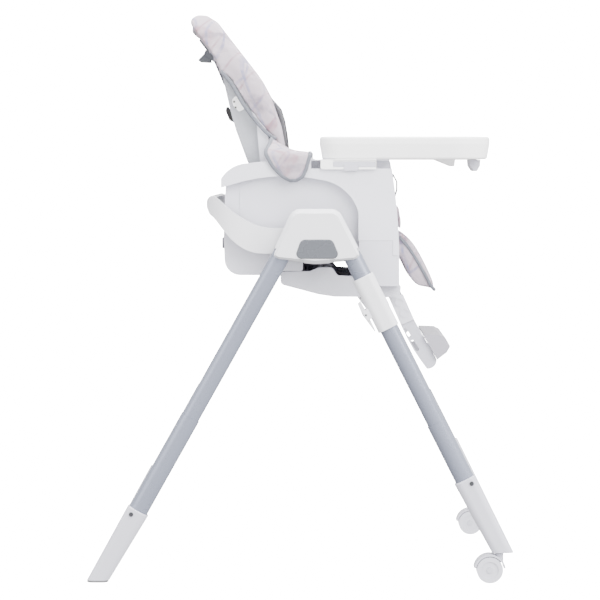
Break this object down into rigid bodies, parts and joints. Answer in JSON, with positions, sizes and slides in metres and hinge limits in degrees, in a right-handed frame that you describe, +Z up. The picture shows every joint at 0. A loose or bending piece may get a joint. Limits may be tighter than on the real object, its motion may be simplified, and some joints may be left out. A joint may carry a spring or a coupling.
{
  "type": "baby high chair",
  "caption": "Folding baby high chair with a padded reclining seat, sliding tray, height-adjusting footrest, swivel front casters and splayed tubular legs.",
  "frame": {"origin": "centre of the overall bounding box, on the floor the rear feet and casters stand on", "axes": "+X towards the front of the chair, +Y to the seated child's left, +Z up"},
  "size_m": [0.7975, 0.612, 1.067],
  "materials": {
    "hub_grey": "satin",
    "steel": "satin",
    "shell_grey": "satin",
    "shell_shade": "satin",
    "dark_plastic": "matte",
    "button_grey": "satin",
    "tube_silver": "metallic satin",
    "foot_plastic": "satin",
    "caster_tread": "satin",
    "sole_rubber": "matte",
    "padding": "woven",
    "webbing": "woven",
    "tray_white": "gloss"
  },
  "bodies": {
    "seat": {"hub_cover_right": "hub_grey", "hub_cover_left": "hub_grey", "hub_plates": "steel", "cross_beam": "steel", "seat_base": "shell_grey", "recline_axle": "steel", "seat_deck": "shell_grey", "rear_bumper": "dark_plastic", "side_shell_right": "shell_grey", "side_shell_left": "shell_grey", "front_covers": "shell_grey", "front_panel": "shell_grey", "front_sill": "shell_grey", "base_pan": "shell_grey", "push_handle": "hub_grey", "slide_brackets": "shell_grey", "seat_pad": "padding", "calf_pad": "padding", "arm_flaps": "padding", "seat_straps": "webbing", "buckle": "foot_plastic"},
    "backrest": {"backrest_shell": "shell_shade", "backrest_panel": "shell_grey", "back_pad": "padding", "shoulder_straps": "webbing", "strap_fittings": "dark_plastic", "pad_clips": "shell_grey", "recline_bezel": "shell_grey"},
    "recline_lever": {"recline_lever": "shell_grey"},
    "buckle_button": {"buckle_button": "button_grey"},
    "fold_button_right": {"fold_button_right": "button_grey"},
    "fold_button_left": {"fold_button_left": "button_grey"},
    "front_legs": {"front_link_shaft": "steel", "front_leg_knuckles": "foot_plastic", "front_upper_tubes": "tube_silver", "front_lower_tubes": "tube_silver", "front_foot_sleeves": "foot_plastic", "front_leg_fasteners": "steel", "collars": "shell_grey"},
    "rear_legs": {"rear_link_shaft": "steel", "rear_leg_knuckles": "foot_plastic", "rear_upper_tubes": "tube_silver", "rear_lower_tubes": "tube_silver", "rear_foot_sleeves": "foot_plastic", "rear_leg_fasteners": "steel", "rear_soles": "sole_rubber"},
    "collar_lever_right": {"collar_lever_right": "shell_grey"},
    "collar_lever_left": {"collar_lever_left": "shell_grey"},
    "caster_right": {"caster_body_right": "foot_plastic"},
    "caster_left": {"caster_body_left": "foot_plastic"},
    "caster_wheels_right": {"caster_wheels_right": "caster_tread"},
    "caster_wheels_left": {"caster_wheels_left": "caster_tread"},
    "footrest": {"footrest_arms": "foot_plastic", "foot_board": "foot_plastic"},
    "tray": {"tray_base": "tray_white", "tray_brackets": "shell_grey"},
    "tray_insert": {"tray_insert": "tray_white"},
    "tray_latches": {"tray_latch_right": "dark_plastic", "tray_latch_left": "dark_plastic"},
    "tray_lever": {"tray_lever": "tray_white"}
  },
  "joints": [
    {"name": "front_leg_fold", "type": "hinge", "parent": "seat", "child": "front_legs", "pos_m": [0.08, 0, 0.643], "axis": [0, 1, 0], "range_deg": [0, 24]},
    {"name": "rear_leg_fold", "type": "hinge", "parent": "seat", "child": "rear_legs", "pos_m": [-0.016, 0, 0.645], "axis": [0, -1, 0], "range_deg": [0, 24]},
    {"name": "backrest_recline", "type": "hinge", "parent": "seat", "child": "backrest", "pos_m": [-0.039, 0, 0.632], "axis": [0, -1, 0], "range_deg": [0, 28]},
    {"name": "recline_lever_pull", "type": "hinge", "parent": "backrest", "child": "recline_lever", "pos_m": [-0.183, 0, 0.998], "axis": [0, 1, 0], "range_deg": [0, 12], "stiffness_Nm_per_rad": 1, "springref_deg": -11.46},
    {"name": "buckle_press", "type": "slide", "parent": "seat", "child": "buckle_button", "axis": [0, 0, -1], "range_m": [0, 0.002], "stiffness_N_per_m": 800, "springref_m": -0.001},
    {"name": "fold_button_right_press", "type": "slide", "parent": "seat", "child": "fold_button_right", "axis": [0, 1, 0], "range_m": [0, 0.0045], "stiffness_N_per_m": 500, "springref_m": -0.002},
    {"name": "fold_button_left_press", "type": "slide", "parent": "seat", "child": "fold_button_left", "axis": [0, -1, 0], "range_m": [0, 0.0045], "stiffness_N_per_m": 500, "springref_m": -0.002},
    {"name": "collar_lever_right_squeeze", "type": "hinge", "parent": "front_legs", "child": "collar_lever_right", "pos_m": [0.1222, -0.28, 0.5007], "axis": [0, 1, 0], "range_deg": [0, 5], "stiffness_Nm_per_rad": 1, "springref_deg": -5.73},
    {"name": "collar_lever_left_squeeze", "type": "hinge", "parent": "front_legs", "child": "collar_lever_left", "pos_m": [0.1222, 0.28, 0.5007], "axis": [0, 1, 0], "range_deg": [0, 5], "stiffness_Nm_per_rad": 1, "springref_deg": -5.73},
    {"name": "caster_right_swivel", "type": "hinge", "parent": "front_legs", "child": "caster_right", "pos_m": [0.372, -0.28, 0.05], "axis": [0, 0, 1], "continuous": true},
    {"name": "caster_left_swivel", "type": "hinge", "parent": "front_legs", "child": "caster_left", "pos_m": [0.372, 0.28, 0.05], "axis": [0, 0, 1], "continuous": true},
    {"name": "caster_right_roll", "type": "hinge", "parent": "caster_right", "child": "caster_wheels_right", "pos_m": [0.354, -0.28, 0.0245], "axis": [0, 1, 0], "continuous": true},
    {"name": "caster_left_roll", "type": "hinge", "parent": "caster_left", "child": "caster_wheels_left", "pos_m": [0.354, 0.28, 0.0245], "axis": [0, 1, 0], "continuous": true},
    {"name": "footrest_height", "type": "slide", "parent": "seat", "child": "footrest", "axis": [0.4067, 0, -0.9136], "range_m": [0, 0.027]},
    {"name": "tray_slide", "type": "slide", "parent": "seat", "child": "tray", "axis": [1, 0, 0], "range_m": [0, 0.05]},
    {"name": "tray_insert_lift", "type": "slide", "parent": "tray", "child": "tray_insert", "axis": [0, 0, 1], "range_m": [0, 0.06]},
    {"name": "tray_lever_pull", "type": "slide", "parent": "tray", "child": "tray_lever", "axis": [-1, 0, 0], "range_m": [0, 0.006], "stiffness_N_per_m": 500, "springref_m": -0.002},
    {"name": "tray_latches_lift", "type": "slide", "parent": "tray", "child": "tray_latches", "axis": [0, 0, 1], "range_m": [0, 0.0025]}
  ],
  "couplings": [
    {"joint": "tray_latches_lift", "follows": "tray_lever_pull", "ratio": 0.4166}
  ]
}
